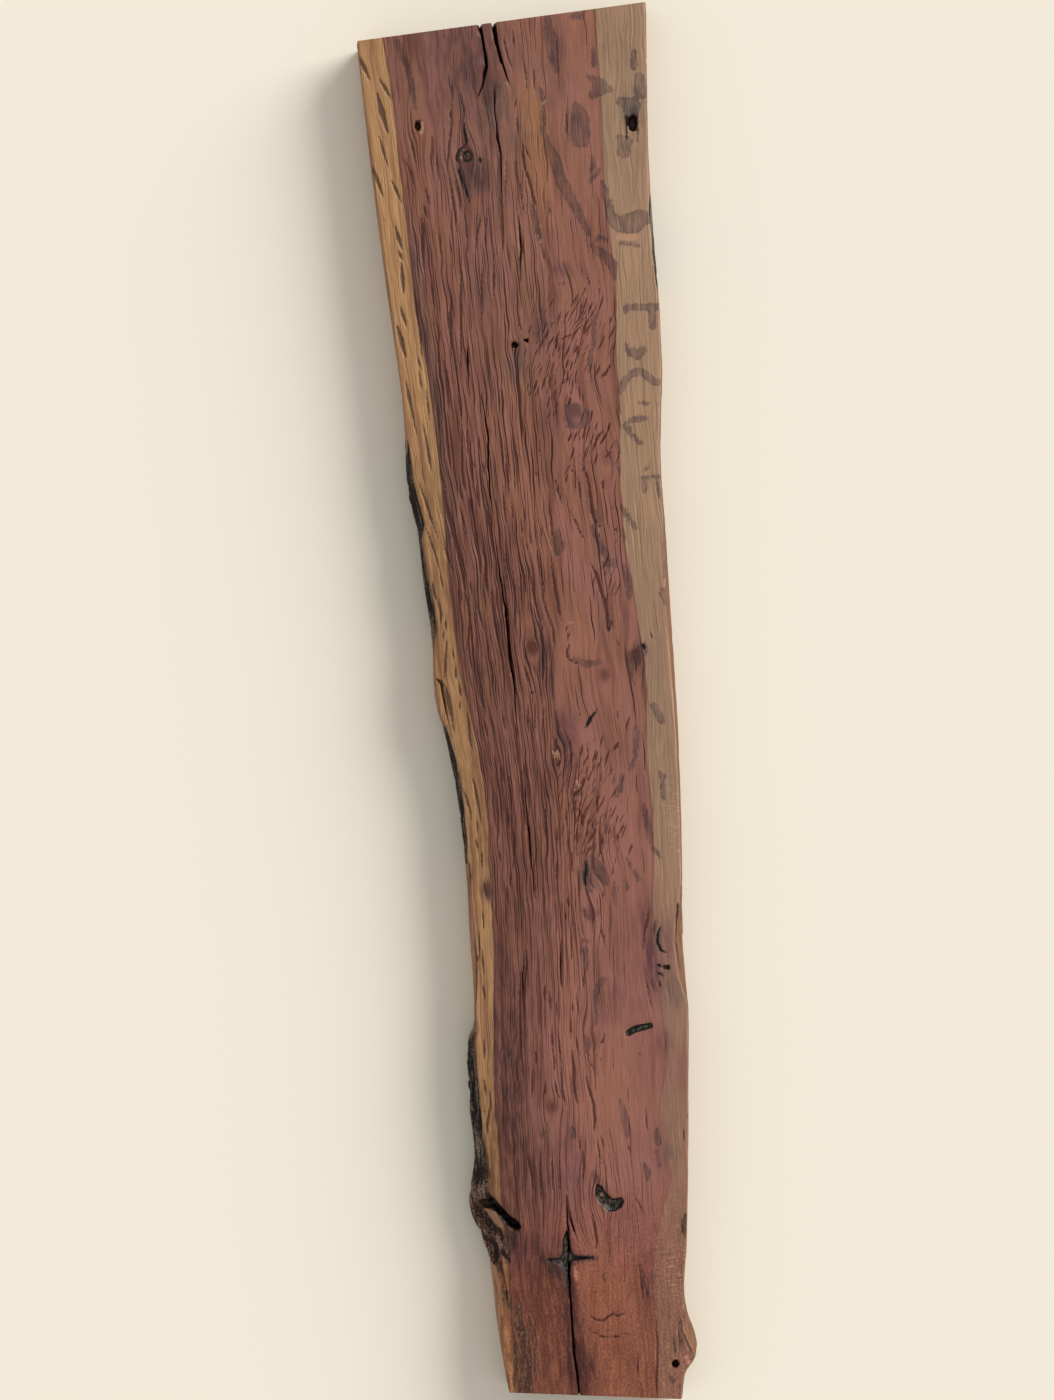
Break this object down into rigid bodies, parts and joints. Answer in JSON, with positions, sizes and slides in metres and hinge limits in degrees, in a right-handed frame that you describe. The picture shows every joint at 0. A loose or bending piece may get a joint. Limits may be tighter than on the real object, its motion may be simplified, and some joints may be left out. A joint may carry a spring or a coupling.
{
  "type": "buloke live edge slab",
  "caption": "Tapering live edge hardwood slab with figured oiled face, pale sapwood edges, bark remnants and drying cracks.",
  "frame": {"origin": "middle of the slab's footprint, on the plane of its sawn back", "axes": "+Y along the slab from the narrow foot end to the wide head end, +Z out of the figured face, +X across to the edge without bark"},
  "size_m": [0.3146, 1.5, 0.05],
  "materials": {
    "buloke": "oiled"
  },
  "bodies": {
    "root": {"slab": "buloke"}
  },
  "joints": []
}
